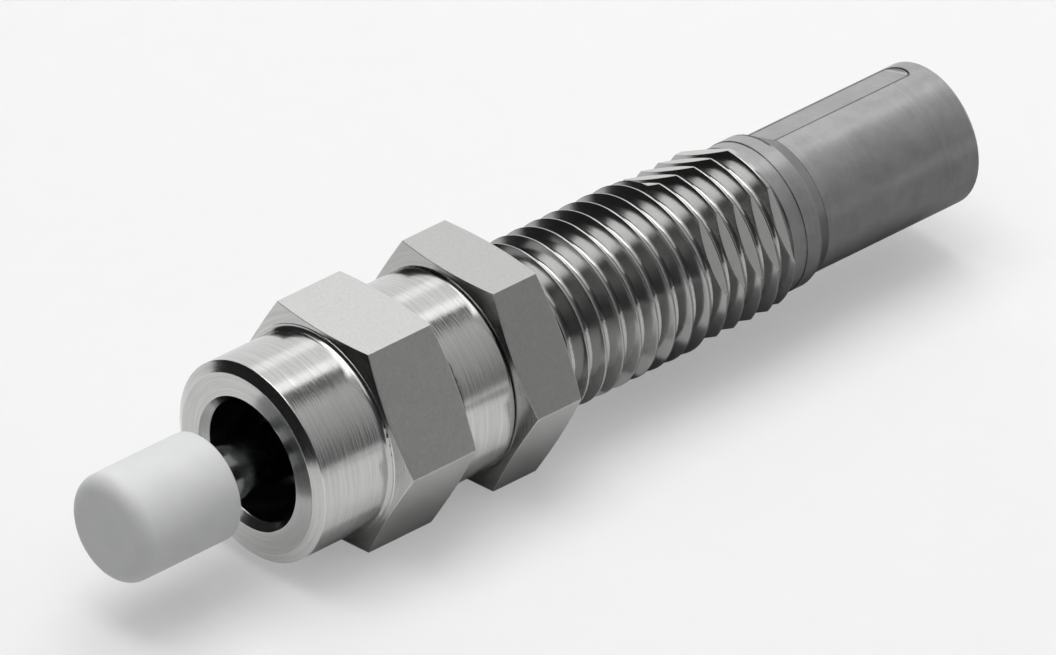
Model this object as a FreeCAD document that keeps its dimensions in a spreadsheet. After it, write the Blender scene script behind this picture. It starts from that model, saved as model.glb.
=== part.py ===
import FreeCAD, Part
import math
import os
import re

import Sketcher

# A miniature hydraulic shock absorber with a fine thread, lying along +X.
# The load comes from -X and pushes the buffer cap back until it meets the stop sleeve.
# The origin is on the axis, in the plane of the stop sleeve's front face, and +Z is up.
# Lengths are in millimetres and angles in degrees.

DRIVING_SIZES = {
    # working stroke and the metric fine thread that the whole part is built round
    "working_stroke": 8.0,
    "thread_diameter": 8.0,
    "thread_pitch": 1.0,
    "thread_flank_angle": 30.0,
    "thread_root_radius": 0.18,
    "thread_crest_radius": 0.03,
    "thread_crest_width": 0.08,
    "thread_lead_in": 1.255,
    # hexagons of the stop sleeve and the lock nut
    "hex_wall": 1.0,
    "hex_face_margin": 0.25,
    "hex_chamfer_angle": 15.0,
    "hex_chamfer_overreach": 0.2,
    # stop sleeve
    "sleeve_neck_length": 4.06,
    "sleeve_hex_length": 4.12,
    "sleeve_collar_length": 3.02,
    "sleeve_neck_setback": 0.36,
    "sleeve_collar_setback": 0.32,
    "sleeve_chamfer_length": 0.3,
    "sleeve_chamfer_height": 0.47,
    "sleeve_neck_fillet": 0.2,
    "sleeve_groove_width": 0.16,
    "sleeve_groove_depth": 0.08,
    "sleeve_edge_radius": 0.15,
    "sleeve_mouth_flare": 0.3,
    "sleeve_mouth_depth": 0.39,
    "cap_bore_gap": 0.33,
    "sleeve_bore_depth": 6.0,
    "thread_hole_clearance": 0.05,
    "thread_hole_chamfer": 0.35,
    # lock nut
    "nut_thickness": 3.0,
    # body tube: threaded length, relief groove, plain section, shoulder and barrel
    "tube_front_gap": 0.3,
    "thread_length": 21.7,
    "thread_front_chamfer": 0.6,
    "thread_end_bevel": 0.15,
    "relief_width": 0.25,
    "relief_depth": 0.56,
    "plain_front_length": 0.75,
    "plain_front_drop": 0.47,
    "plain_rear_length": 0.8,
    "plain_rear_drop": 0.44,
    "shoulder_length": 0.65,
    "barrel_length": 8.95,
    "barrel_drop": 0.69,
    "barrel_edge_radius": 0.15,
    "tube_wall": 1.4,
    "wrench_flats_depth": 0.42,
    "wrench_flats_length": 4.55,
    "wrench_flats_angle": 27.0,
    "barrel_flat_depth": 0.15,
    "barrel_flat_length": 8.45,
    "flat_cutter_radius": 0.6,
    "barrel_flat_angle": 18.0,
    # retaining rings, one near each end of the tube
    "ring_wire_diameter": 0.4,
    "ring_setback": 0.4,
    "ring_groove_clearance": 0.03,
    "ring_arc_angle": 325.0,
    # clearances
    "stack_gap": 0.02,
    "seat_clearance": 0.02,
    "running_clearance": 0.03,
    # rod and buffer cap
    "rod_diameter": 2.5,
    "rod_end_chamfer": 0.15,
    "rod_shoulder_height": 0.5,
    "rod_end_stub": 0.1,
    "cap_diameter": 5.0,
    "cap_length": 5.5,
    "cap_front_wall": 2.0,
    "cap_front_radius": 0.7,
    "cap_rear_chamfer": 0.08,
    # front packing
    "wiper_length": 1.0,
    "wiper_lip_depth": 0.45,
    "bush_length": 3.4,
    "oring_wire_diameter": 0.52,
    "oring_groove_room": 0.18,
    "seal_length": 1.2,
    "seal_lip_depth": 0.6,
    "support_washer_thickness": 0.4,
    "foam_length": 5.4,
    "foam_wall_gap": 0.08,
    "foam_rod_gap": 0.25,
    "stop_washer_thickness": 0.7,
    "stop_pilot_length": 0.4,
    "stop_hole_diameter": 0.5,
    # pressure tube
    "pressure_tube_gap": 0.1,
    "pressure_tube_wall": 0.5,
    "metering_hole_diameter": 0.4,
    "metering_hole_spacing": 1.3,
    "metering_first_hole": 3.6,
    # piston group
    "piston_rest_gap": 0.05,
    "piston_length": 2.0,
    "piston_boss_length": 0.5,
    "piston_boss_wall": 0.2,
    "piston_groove_width": 0.6,
    "piston_groove_depth": 0.35,
    "piston_ring_angle": 350.0,
    "piston_hole_diameter": 0.44,
    "check_disc_thickness": 0.25,
    "check_disc_spring_gap": 0.04,
    "disc_stop_thickness": 0.3,
    "disc_stop_setback": 0.06,
    "piston_nut_wall": 0.55,
    "piston_nut_thickness": 1.0,
    # return spring and its seat
    "spring_wire_diameter": 0.3,
    "spring_wall_gap": 0.1,
    "spring_coils": 11.0,
    "spring_seat_thickness": 0.6,
    "spring_pilot_length": 0.8,
    "spring_pilot_gap": 0.1,
    "spring_seat_wall": 0.9,
    # end plug and its filling hole
    "plug_flange_length": 2.3,
    "plug_spigot_length": 0.8,
    "filler_ball_diameter": 1.2,
    "filler_hole_clearance": 0.01,
    "filler_ball_setback": 0.7,
    "plug_edge_chamfer": 0.2,
}

CORNERS_OF_HEX = 6
HALF_HEX_CORNER = 180 / CORNERS_OF_HEX
COUNT_OF_WRENCH_FLATS = 4
STOP_WASHER_HOLES = 4
PISTON_HOLES = 4
METERING_HOLES = 5

doc = FreeCAD.newDocument("ShockAbsorber")
sheet = doc.addObject("Spreadsheet::Sheet", "Sizes")
for row, (alias, value) in enumerate(DRIVING_SIZES.items(), start=1):
    sheet.set(f"A{row}", alias.replace("_", " "))
    sheet.set(f"B{row}", str(value))
    sheet.setAlias(f"B{row}", alias)
doc.recompute()


# Expressions

def bound(text):
    """Point every name with an underscore at its cell in the sheet of sizes."""
    return re.sub(r"\b[a-z]+(?:_[a-z]+)+\b", r"Sizes.\g<0>", text)


def size(text):
    """Work out an expression from the sheet of sizes."""
    return float(sheet.evalExpression(bound(text)))


def corner_radius(flats):
    """Distance from a hexagon's centre to its corners."""
    return f"({flats} / 2 / cos({HALF_HEX_CORNER}))"


# Places along the axis, from the stop face at zero towards the rear.
# Each is an expression, so a piece follows the sizes of all that it is stacked on.

sleeve_length = "(sleeve_neck_length + sleeve_hex_length + sleeve_collar_length)"
nut_front = f"({sleeve_length} + stack_gap)"
tube_front = "(sleeve_bore_depth + tube_front_gap)"
relief_start = "(thread_length + thread_end_bevel)"
plain_start = f"({relief_start} + relief_width)"
plain_step = f"({plain_start} + plain_front_length)"
shoulder_start = f"({plain_step} + plain_rear_length)"
barrel_start = f"({shoulder_start} + shoulder_length)"
tube_length = f"({barrel_start} + barrel_length)"
ring_half_width = "(ring_wire_diameter / 2 + ring_groove_clearance)"

cap_front = "(-working_stroke)"
rod_front = f"({cap_front} + cap_front_wall)"

front_ring_place = f"({tube_front} + ring_setback)"
wiper_front = f"({front_ring_place} + ring_wire_diameter / 2 + stack_gap)"
bush_front = f"({wiper_front} + wiper_length + stack_gap)"
bush_ring_place = f"({bush_front} + bush_length / 2)"
seal_front = f"({bush_front} + bush_length + stack_gap)"
support_front = f"({seal_front} + seal_length + stack_gap)"
foam_front = f"({support_front} + support_washer_thickness + stack_gap)"
stop_washer_front = f"({foam_front} + foam_length + stack_gap)"
pressure_front = f"({stop_washer_front} + stop_washer_thickness + stack_gap)"
piston_front = f"({stop_washer_front} + stop_washer_thickness + stop_pilot_length + piston_rest_gap)"
check_disc_front = f"({piston_front} + piston_length + stack_gap)"
disc_stop_front = f"({piston_front} + piston_length + piston_boss_length)"
piston_nut_front = f"({disc_stop_front} + disc_stop_thickness)"

rear_ring_place = f"({tube_front} + {tube_length} - ring_setback)"
plug_rear = f"({rear_ring_place} - ring_wire_diameter / 2 - stack_gap)"
plug_flange_front = f"({plug_rear} - plug_flange_length)"
plug_front = f"({plug_flange_front} - plug_spigot_length)"
plug_ring_place = f"({plug_rear} - plug_flange_length / 2)"
pressure_length = f"({plug_flange_front} - stack_gap - {pressure_front})"
seat_front = f"({plug_front} - stack_gap - spring_seat_thickness)"
spring_front = f"({piston_front} + piston_length + stack_gap)"
spring_length = f"({seat_front} - stack_gap - {spring_front})"

# Radii, each from the thread or the rod outwards or inwards by a named wall, drop or gap

crest_radius = "(thread_diameter / 2)"
thread_hole_radius = f"({crest_radius} + thread_hole_clearance)"
hex_flats = "(thread_diameter + 2 * hex_wall)"
hex_face_radius = f"({hex_flats} / 2 - hex_face_margin)"
neck_radius = f"({hex_flats} / 2 - sleeve_neck_setback)"
collar_radius = f"({hex_flats} / 2 - sleeve_collar_setback)"
cap_radius = "(cap_diameter / 2)"
sleeve_bore_radius = f"({cap_radius} + cap_bore_gap)"

relief_radius = f"({crest_radius} - relief_depth)"
plain_front_radius = f"({crest_radius} - plain_front_drop)"
plain_rear_radius = f"({crest_radius} - plain_rear_drop)"
barrel_radius = f"({crest_radius} - barrel_drop)"
wrench_flat_height = f"({crest_radius} - wrench_flats_depth)"
barrel_flat_height = f"({barrel_radius} - barrel_flat_depth)"
tube_bore_radius = f"({crest_radius} - tube_wall)"
packing_radius = f"({tube_bore_radius} - seat_clearance)"
oring_groove_depth = "(oring_wire_diameter - seat_clearance)"
oring_groove_width = "(oring_wire_diameter + oring_groove_room)"

pressure_tube_radius = f"({tube_bore_radius} - pressure_tube_gap)"
pressure_bore_radius = f"({pressure_tube_radius} - pressure_tube_wall)"
pilot_radius = f"({pressure_bore_radius} - seat_clearance)"
rod_radius = "(rod_diameter / 2)"
rod_hole_radius = f"({rod_radius} + running_clearance)"
spigot_radius = f"({rod_radius} - rod_shoulder_height)"
spigot_hole_radius = f"({spigot_radius} + seat_clearance)"
piston_boss_radius = f"({spigot_radius} + piston_boss_wall)"
spring_mean_radius = f"({pressure_bore_radius} - spring_wall_gap - spring_wire_diameter / 2)"
spring_inner_radius = f"({spring_mean_radius} - spring_wire_diameter / 2)"
check_disc_radius = f"({spring_inner_radius} - check_disc_spring_gap)"
spring_pilot_radius = f"({spring_inner_radius} - spring_pilot_gap)"

pieces = []


# Modelling helpers

def new_body(label, front="0"):
    """Start a piece whose own zero lies at the given place on the axis."""
    body = doc.addObject("PartDesign::Body", label)
    body.Label = label
    body.setExpression("Placement.Base.x", bound(front))
    pieces.append(body)
    return body


def sketch_on(body, name, role="XY_Plane"):
    """Attach a sketch to one of the body's own origin planes."""
    sketch = body.newObject("Sketcher::SketchObject", name)
    plane = next(item for item in body.Origin.OriginFeatures if item.Role == role)
    sketch.AttachmentSupport = [(plane, "")]
    sketch.MapMode = "FlatFace"
    return sketch


def arc_through(start, end, radius, bulge):
    """An arc from start to end that bulges to the left (+1) or right (-1) of its chord."""
    chord = end - start
    normal = FreeCAD.Vector(-chord.y, chord.x, 0).normalize()
    reach = math.sqrt(max(radius * radius - chord.Length ** 2 / 4, 0))
    middle = (start + end) * 0.5 + normal * (bulge * (radius - reach))
    return Part.Arc(start, middle, end)


def fix_point(sketch, edge, end, along, across):
    """Tie the end of an edge to its distances from the sketch's origin."""
    for kind, text, axis in (("DistanceX", along, -2), ("DistanceY", across, -1)):
        if text == "0":
            sketch.addConstraint(Sketcher.Constraint("PointOnObject", edge, end, axis))
            continue
        number = sketch.addConstraint(Sketcher.Constraint(kind, -1, 1, edge, end, size(text)))
        sketch.setExpression(f"Constraints[{number}]", bound(text))


def outline(sketch, corners):
    """Draw a closed outline. A corner is (along, across), with (radius, bulge) where an arc leaves it."""
    points = [FreeCAD.Vector(size(corner[0]), size(corner[1]), 0) for corner in corners]
    swapped = set()
    for number, corner in enumerate(corners):
        start = points[number]
        end = points[(number + 1) % len(points)]
        if len(corner) == 2:
            sketch.addGeometry(Part.LineSegment(start, end))
            continue
        radius, bulge = corner[2:]
        sketch.addGeometry(arc_through(start, end, size(radius), bulge))
        # a sketch keeps every arc anticlockwise, so the ends of a clockwise one are swapped
        if bulge > 0:
            swapped.add(number)
    for number, corner in enumerate(corners):
        following = (number + 1) % len(corners)
        start = 2 if number in swapped else 1
        end = 1 if number in swapped else 2
        next_start = 2 if following in swapped else 1
        sketch.addConstraint(Sketcher.Constraint("Coincident", number, end, following, next_start))
        fix_point(sketch, number, start, corner[0], corner[1])
        if len(corner) > 2:
            constraint = sketch.addConstraint(Sketcher.Constraint("Radius", number, size(corner[2])))
            sketch.setExpression(f"Constraints[{constraint}]", bound(corner[2]))
    return sketch


def circle(sketch, along, across, diameter):
    """Draw a circle whose centre and diameter are bound to the sheet."""
    centre = FreeCAD.Vector(size(along), size(across), 0)
    edge = sketch.addGeometry(Part.Circle(centre, FreeCAD.Vector(0, 0, 1), size(diameter) / 2))
    fix_point(sketch, edge, 3, along, across)
    constraint = sketch.addConstraint(Sketcher.Constraint("Diameter", edge, size(diameter)))
    sketch.setExpression(f"Constraints[{constraint}]", bound(diameter))
    return sketch


def turned(body, name, corners, angle=None):
    """Revolve an outline about the axis."""
    return revolved(body, name, outline(sketch_on(body, f"{name}_outline"), corners), angle)


def revolved(body, name, sketch, angle=None):
    feature = body.newObject("PartDesign::Revolution", name)
    feature.Profile = sketch
    feature.ReferenceAxis = (sketch, ["H_Axis"])
    feature.Angle = 360
    if angle:
        feature.setExpression("Angle", bound(angle))
    return feature


def volume_before(body):
    doc.recompute()
    return body.Shape.Volume


def check_cut(body, before, least=1e-6):
    """A cut that misses the solid takes nothing off, so the volumes are compared."""
    doc.recompute()
    if before - body.Shape.Volume < least:
        raise RuntimeError(f"{body.Label}: {body.Tip.Name} cut too little")


def bored(body, name, corners):
    """Turn away everything inside an outline."""
    before = volume_before(body)
    sketch = outline(sketch_on(body, f"{name}_outline"), corners)
    groove = body.newObject("PartDesign::Groove", name)
    groove.Profile = sketch
    groove.ReferenceAxis = (sketch, ["H_Axis"])
    groove.Angle = 360
    check_cut(body, before)


def hexagon(body, name, flats, length, front="0"):
    """A hexagonal bar along the axis, with a flat on top and one below."""
    bar = body.newObject("PartDesign::AdditivePrism", name)
    plane = next(item for item in body.Origin.OriginFeatures if item.Role == "YZ_Plane")
    bar.AttachmentSupport = [(plane, "")]
    bar.MapMode = "FlatFace"
    bar.Polygon = CORNERS_OF_HEX
    bar.setExpression("Circumradius", bound(corner_radius(flats)))
    bar.setExpression("Height", bound(length))
    bar.setExpression("AttachmentOffset.Base.z", bound(front))


def hexagon_chamfers(body, front, length):
    """Turn the corners of a hexagonal bar down to a round face at both ends."""
    outside = f"({corner_radius(hex_flats)} + hex_chamfer_overreach)"
    inside = hex_face_radius
    slope = f"(({outside} - {inside}) * tan(hex_chamfer_angle))"
    rear = f"({front} + {length})"
    bored(body, "front_chamfer", [
        (front, inside),
        (f"{front} + {slope}", outside),
        (front, outside),
    ])
    bored(body, "rear_chamfer", [
        (rear, inside),
        (rear, outside),
        (f"{rear} - {slope}", outside),
    ])


def pocket(body, name, sketch, length, both_sides=False):
    """Cut a sketch into the body along the sketch's own normal, or to both sides of the sketch."""
    before = volume_before(body)
    cut = body.newObject("PartDesign::Pocket", name)
    cut.Profile = sketch
    cut.Type = "Length"
    cut.Reversed = True
    cut.Midplane = both_sides
    cut.setExpression("Length", bound(length))
    check_cut(body, before)
    return cut


def pattern_round_axis(body, name, feature, sketch, count):
    """Repeat a cut evenly round the axis."""
    before = volume_before(body)
    pattern = body.newObject("PartDesign::PolarPattern", name)
    pattern.Originals = [feature]
    pattern.Axis = (sketch, ["N_Axis"])
    pattern.Angle = 360
    pattern.Occurrences = count
    body.Tip = pattern
    check_cut(body, before)
    return pattern


def split_ring(label, place):
    """A round wire bent into an open ring that snaps into a groove in the tube's bore."""
    body = new_body(label, place)
    wire = circle(sketch_on(body, "wire"), "0", tube_bore_radius, "ring_wire_diameter")
    revolved(body, "bent_wire", wire, "ring_arc_angle")
    return body


def rubber_ring(label, place):
    """An O-ring that lies in a groove and touches the tube's bore."""
    ring = doc.addObject("Part::Torus", label)
    ring.Label = label
    ring.setExpression("Radius1", bound(f"{packing_radius} - {oring_groove_depth} / 2"))
    ring.setExpression("Radius2", bound("oring_wire_diameter / 2 - seat_clearance"))
    ring.Placement = FreeCAD.Placement(FreeCAD.Vector(), FreeCAD.Rotation(FreeCAD.Vector(0, 1, 0), 90))
    ring.setExpression("Placement.Base.x", bound(place))
    pieces.append(ring)
    return ring


def plain_washer(label, front, thickness, hole, outside):
    """A flat ring, from its hole's radius out to its rim."""
    body = new_body(label, front)
    turned(body, "ring", [
        ("0", hole),
        (thickness, hole),
        (thickness, outside),
        ("0", outside),
    ])
    return body


# Outer pieces, from the front to the rear

def buffer_cap():
    """White plastic nose with a soft front edge, pressed on the rod's tip."""
    body = new_body("buffer_cap", cap_front)
    turned(body, "nose", [
        ("0", "0"),
        ("cap_front_wall", "0"),
        ("cap_front_wall", rod_radius),
        ("cap_length", rod_radius),
        ("cap_length", f"{cap_radius} - cap_rear_chamfer"),
        ("cap_length - cap_rear_chamfer", cap_radius),
        ("cap_front_radius", cap_radius, "cap_front_radius", -1),
        ("0", f"{cap_radius} - cap_front_radius"),
    ])


def piston_rod():
    """Ground rod with a thin spigot at its rear that carries the piston."""
    body = new_body("piston_rod", rod_front)
    shoulder = f"({piston_front} - {rod_front})"
    end = f"({piston_nut_front} + piston_nut_thickness + rod_end_stub - {rod_front})"
    turned(body, "rod", [
        ("0", "0"),
        (end, "0"),
        (end, spigot_radius),
        (shoulder, spigot_radius),
        (shoulder, rod_radius),
        ("rod_end_chamfer", rod_radius),
        ("0", f"{rod_radius} - rod_end_chamfer"),
    ])


def stop_sleeve():
    """Screwed sleeve with a hexagon: its front face is the fixed stop for the load."""
    body = new_body("stop_sleeve")
    hex_front = "sleeve_neck_length"
    hex_rear = "(sleeve_neck_length + sleeve_hex_length)"
    hexagon(body, "hexagon", hex_flats, "sleeve_hex_length", hex_front)
    hexagon_chamfers(body, hex_front, "sleeve_hex_length")
    fillet_top = f"({neck_radius} + sleeve_neck_fillet)"
    turned(body, "neck_and_collar", [
        ("0", "0"),
        (sleeve_length, "0"),
        (sleeve_length, f"{collar_radius} - sleeve_edge_radius", "sleeve_edge_radius", -1),
        (f"{sleeve_length} - sleeve_edge_radius", collar_radius),
        (f"{hex_rear} + sleeve_groove_width + sleeve_groove_depth / 2", collar_radius),
        (f"{hex_rear} + sleeve_groove_width", f"{collar_radius} - sleeve_groove_depth"),
        (hex_rear, f"{collar_radius} - sleeve_groove_depth"),
        (hex_rear, fillet_top),
        (hex_front, fillet_top, "sleeve_neck_fillet", 1),
        (f"{hex_front} - sleeve_neck_fillet", neck_radius),
        ("sleeve_chamfer_length", neck_radius),
        ("0", f"{neck_radius} - sleeve_chamfer_height"),
    ])
    bored(body, "bore", [
        ("0", "0"),
        (sleeve_length, "0"),
        (sleeve_length, f"{thread_hole_radius} + thread_hole_chamfer"),
        (f"{sleeve_length} - thread_hole_chamfer", thread_hole_radius),
        ("sleeve_bore_depth", thread_hole_radius),
        ("sleeve_bore_depth", sleeve_bore_radius),
        ("sleeve_mouth_depth", sleeve_bore_radius),
        ("0", f"{sleeve_bore_radius} + sleeve_mouth_flare"),
    ])


def lock_nut():
    """Thin hexagon nut that locks the sleeve or clamps the bracket."""
    body = new_body("lock_nut", nut_front)
    hexagon(body, "hexagon", hex_flats, "nut_thickness")
    hexagon_chamfers(body, "0", "nut_thickness")
    bored(body, "thread_hole", [
        ("0", "0"),
        ("nut_thickness", "0"),
        ("nut_thickness", f"{thread_hole_radius} + thread_hole_chamfer"),
        ("nut_thickness - thread_hole_chamfer", thread_hole_radius),
        ("thread_hole_chamfer", thread_hole_radius),
        ("0", f"{thread_hole_radius} + thread_hole_chamfer"),
    ])


def body_tube():
    """Outer tube: fine thread with wrench flats at the front, smooth barrel at the rear."""
    body = new_body("body_tube", tube_front)
    bore = tube_bore_radius
    ring_floor = f"({bore} + {ring_half_width})"
    ring_place = f"({tube_length} - ring_setback)"
    turned(body, "tube", [
        ("0", bore),
        ("0", f"{crest_radius} - thread_front_chamfer"),
        ("thread_front_chamfer", crest_radius),
        ("thread_length", crest_radius),
        (relief_start, relief_radius),
        (plain_start, relief_radius),
        (plain_start, plain_front_radius),
        (plain_step, plain_front_radius),
        (plain_step, plain_rear_radius),
        (shoulder_start, plain_rear_radius),
        (barrel_start, barrel_radius),
        (f"{tube_length} - barrel_edge_radius", barrel_radius, "barrel_edge_radius", 1),
        (tube_length, f"{barrel_radius} - barrel_edge_radius"),
        (tube_length, bore),
        (f"{ring_place} + {ring_half_width}", bore),
        (f"{ring_place} + {ring_half_width}", ring_floor),
        (f"{ring_place} - {ring_half_width}", ring_floor),
        (f"{ring_place} - {ring_half_width}", bore),
        (f"ring_setback + {ring_half_width}", bore),
        (f"ring_setback + {ring_half_width}", ring_floor),
        (f"ring_setback - {ring_half_width}", ring_floor),
        (f"ring_setback - {ring_half_width}", bore),
    ])
    cut_thread(body)
    cut_wrench_flats(body)
    cut_barrel_flat(body)


def cut_thread(body):
    """Right-hand groove with a rounded root and softly rounded crests."""
    before = volume_before(body)
    sketch = sketch_on(body, "thread_groove_outline")
    outside = f"({crest_radius} + thread_crest_width)"
    middle = "thread_pitch"
    half_mouth = "(thread_pitch / 2 - thread_crest_width / 2)"
    rounding = "(thread_crest_radius * tan(thread_flank_angle))"
    apex = f"({crest_radius} - {half_mouth} / tan(thread_flank_angle))"
    root_centre = f"({apex} + thread_root_radius / sin(thread_flank_angle))"
    edge_along = f"({half_mouth} + {rounding})"
    flank_along = f"({half_mouth} - {rounding} * sin(thread_flank_angle))"
    flank_across = f"({crest_radius} - {rounding} * cos(thread_flank_angle))"
    root_along = "(thread_root_radius * cos(thread_flank_angle))"
    root_across = f"({root_centre} - thread_root_radius * sin(thread_flank_angle))"
    outline(sketch, [
        (f"{middle} - {edge_along}", outside),
        (f"{middle} - {edge_along}", crest_radius, "thread_crest_radius", 1),
        (f"{middle} - {flank_along}", flank_across),
        (f"{middle} - {root_along}", root_across, "thread_root_radius", -1),
        (f"{middle} + {root_along}", root_across),
        (f"{middle} + {flank_along}", flank_across, "thread_crest_radius", 1),
        (f"{middle} + {edge_along}", crest_radius),
        (f"{middle} + {edge_along}", outside),
    ])
    sketch.setExpression("AttachmentOffset.Base.x", bound("0 - thread_pitch - thread_lead_in"))
    groove = body.newObject("PartDesign::SubtractiveHelix", "thread")
    groove.Profile = sketch
    groove.ReferenceAxis = (sketch, ["H_Axis"])
    groove.Mode = "pitch-height-angle"
    groove.setExpression("Pitch", bound("thread_pitch"))
    groove.setExpression("Height", bound("thread_lead_in + thread_length"))
    check_cut(body, before, least=size("thread_length * thread_pitch * thread_root_radius"))


def cut_wrench_flats(body):
    """Four flats that take the crests off the last few turns of the thread."""
    sketch = sketch_on(body, "wrench_flat_outline", "YZ_Plane")
    outside = "thread_diameter"
    outline(sketch, [
        (f"0 - {outside}", wrench_flat_height),
        (outside, wrench_flat_height),
        (outside, outside),
        (f"0 - {outside}", outside),
    ])
    turn = FreeCAD.Rotation(FreeCAD.Vector(0, 0, -1), size("wrench_flats_angle"))
    sketch.AttachmentOffset = FreeCAD.Placement(FreeCAD.Vector(), turn)
    sketch.setExpression("AttachmentOffset.Rotation.Angle", bound("wrench_flats_angle"))
    sketch.setExpression("AttachmentOffset.Base.z", bound(f"{relief_start} - wrench_flats_length"))
    flat = pocket(body, "wrench_flat", sketch, "wrench_flats_length")
    pattern_round_axis(body, "wrench_flats", flat, sketch, COUNT_OF_WRENCH_FLATS)


def cut_barrel_flat(body):
    """One long flat milled from the plain section along the barrel, to where the cutter comes out."""
    sketch = sketch_on(body, "barrel_flat_outline", "XZ_Plane")
    outline(sketch, [
        ("0", barrel_flat_height),
        ("barrel_flat_length", barrel_flat_height, "flat_cutter_radius", -1),
        ("barrel_flat_length + flat_cutter_radius", f"{barrel_flat_height} + flat_cutter_radius"),
        ("0", f"{barrel_flat_height} + flat_cutter_radius"),
    ])
    turn = FreeCAD.Rotation(FreeCAD.Vector(-1, 0, 0), size("barrel_flat_angle"))
    sketch.AttachmentOffset = FreeCAD.Placement(FreeCAD.Vector(), turn)
    sketch.setExpression("AttachmentOffset.Rotation.Angle", bound("barrel_flat_angle"))
    sketch.setExpression("AttachmentOffset.Base.x", bound(shoulder_start))
    pocket(body, "barrel_flat", sketch, "thread_diameter", both_sides=True)


# Packing at the front of the tube

def front_retaining_ring():
    """Open wire ring that keeps the wiper, bush and seal in the tube."""
    split_ring("front_retaining_ring", front_ring_place)


def rod_wiper():
    """Rubber ring whose thin front lip keeps dirt off the rod."""
    body = new_body("rod_wiper", wiper_front)
    middle = f"(({rod_hole_radius} + {packing_radius}) / 2)"
    turned(body, "wiper", [
        ("0", rod_hole_radius),
        ("wiper_length", rod_hole_radius),
        ("wiper_length", packing_radius),
        ("wiper_lip_depth", packing_radius),
        ("wiper_lip_depth", middle),
    ])


def guide_bush():
    """Bronze bush that guides the rod, with a groove for its O-ring."""
    body = new_body("guide_bush", bush_front)
    groove_start = f"(bush_length / 2 - {oring_groove_width} / 2)"
    groove_end = f"(bush_length / 2 + {oring_groove_width} / 2)"
    turned(body, "bush", [
        ("0", rod_hole_radius),
        ("bush_length", rod_hole_radius),
        ("bush_length", packing_radius),
        (groove_end, packing_radius),
        (groove_end, f"{packing_radius} - {oring_groove_depth}"),
        (groove_start, f"{packing_radius} - {oring_groove_depth}"),
        (groove_start, packing_radius),
        ("0", packing_radius),
    ])


def rod_seal():
    """Rubber lip seal, open towards the oil."""
    body = new_body("rod_seal", seal_front)
    quarter = f"(({packing_radius} - {rod_hole_radius}) / 4)"
    turned(body, "seal", [
        ("0", rod_hole_radius),
        ("seal_length", rod_hole_radius),
        ("seal_length", f"{rod_hole_radius} + {quarter}"),
        ("seal_length - seal_lip_depth", f"{rod_hole_radius} + 2 * {quarter}"),
        ("seal_length", f"{packing_radius} - {quarter}"),
        ("seal_length", packing_radius),
        ("0", packing_radius),
    ])


def seal_support_washer():
    """Flat steel ring that the seal leans on."""
    thickness = "support_washer_thickness"
    plain_washer("seal_support_washer", support_front, thickness, rod_hole_radius, packing_radius)


def accumulator_foam():
    """Closed-cell foam sleeve that gives way to the oil that the rod displaces."""
    hole = f"{rod_radius} + foam_rod_gap"
    outside = f"{tube_bore_radius} - foam_wall_gap"
    plain_washer("accumulator_foam", foam_front, "foam_length", hole, outside)


def piston_stop_washer():
    """Disc with a pilot that centres the pressure tube and stops the piston at rest."""
    body = new_body("piston_stop_washer", stop_washer_front)
    end = "(stop_washer_thickness + stop_pilot_length)"
    turned(body, "disc", [
        ("0", rod_hole_radius),
        (end, rod_hole_radius),
        (end, pilot_radius),
        ("stop_washer_thickness", pilot_radius),
        ("stop_washer_thickness", packing_radius),
        ("0", packing_radius),
    ])
    middle = f"({rod_hole_radius} + {pilot_radius}) / 2"
    sketch = circle(sketch_on(body, "oil_hole_outline", "YZ_Plane"), "0", middle, "stop_hole_diameter")
    hole = pocket(body, "oil_hole", sketch, end)
    pattern_round_axis(body, "oil_holes", hole, sketch, STOP_WASHER_HOLES)
    rim = circle(sketch_on(body, "rim_notch_outline", "YZ_Plane"),
                 packing_radius, "0", "stop_hole_diameter")
    notch = pocket(body, "rim_notch", rim, end)
    pattern_round_axis(body, "rim_notches", notch, rim, STOP_WASHER_HOLES)


# Pressure tube and the piston group

def pressure_tube():
    """Inner tube that the piston slides in, with a row of metering holes along its top."""
    body = new_body("pressure_tube", pressure_front)
    turned(body, "tube", [
        ("0", pressure_bore_radius),
        (pressure_length, pressure_bore_radius),
        (pressure_length, pressure_tube_radius),
        ("0", pressure_tube_radius),
    ])
    sketch = circle(sketch_on(body, "metering_hole_outline"),
                    "metering_first_hole", "0", "metering_hole_diameter")
    hole = pocket(body, "metering_hole", sketch, f"{pressure_tube_radius} + seat_clearance")
    before = volume_before(body)
    row = body.newObject("PartDesign::LinearPattern", "metering_holes")
    row.Originals = [hole]
    row.Direction = (sketch, ["H_Axis"])
    row.Occurrences = METERING_HOLES
    row.Mode = "Spacing"
    row.setExpression("Offset", bound("metering_hole_spacing"))
    body.Tip = row
    check_cut(body, before)


def piston():
    """Steel piston with a ring groove, four oil holes and a boss that the check disc slides on."""
    body = new_body("piston", piston_front)
    hole = spigot_hole_radius
    outside = f"({pilot_radius} - running_clearance)"
    groove_start = "(piston_length / 2 - piston_groove_width / 2)"
    groove_end = "(piston_length / 2 + piston_groove_width / 2)"
    boss_end = "(piston_length + piston_boss_length)"
    turned(body, "piston_blank", [
        ("0", hole),
        (boss_end, hole),
        (boss_end, piston_boss_radius),
        ("piston_length", piston_boss_radius),
        ("piston_length", outside),
        (groove_end, outside),
        (groove_end, f"{outside} - piston_groove_depth"),
        (groove_start, f"{outside} - piston_groove_depth"),
        (groove_start, outside),
        ("0", outside),
    ])
    middle = f"({piston_boss_radius} + {check_disc_radius}) / 2"
    sketch = circle(sketch_on(body, "oil_hole_outline", "YZ_Plane"), "0", middle, "piston_hole_diameter")
    oil_hole = pocket(body, "oil_hole", sketch, boss_end)
    pattern_round_axis(body, "oil_holes", oil_hole, sketch, PISTON_HOLES)


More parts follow.
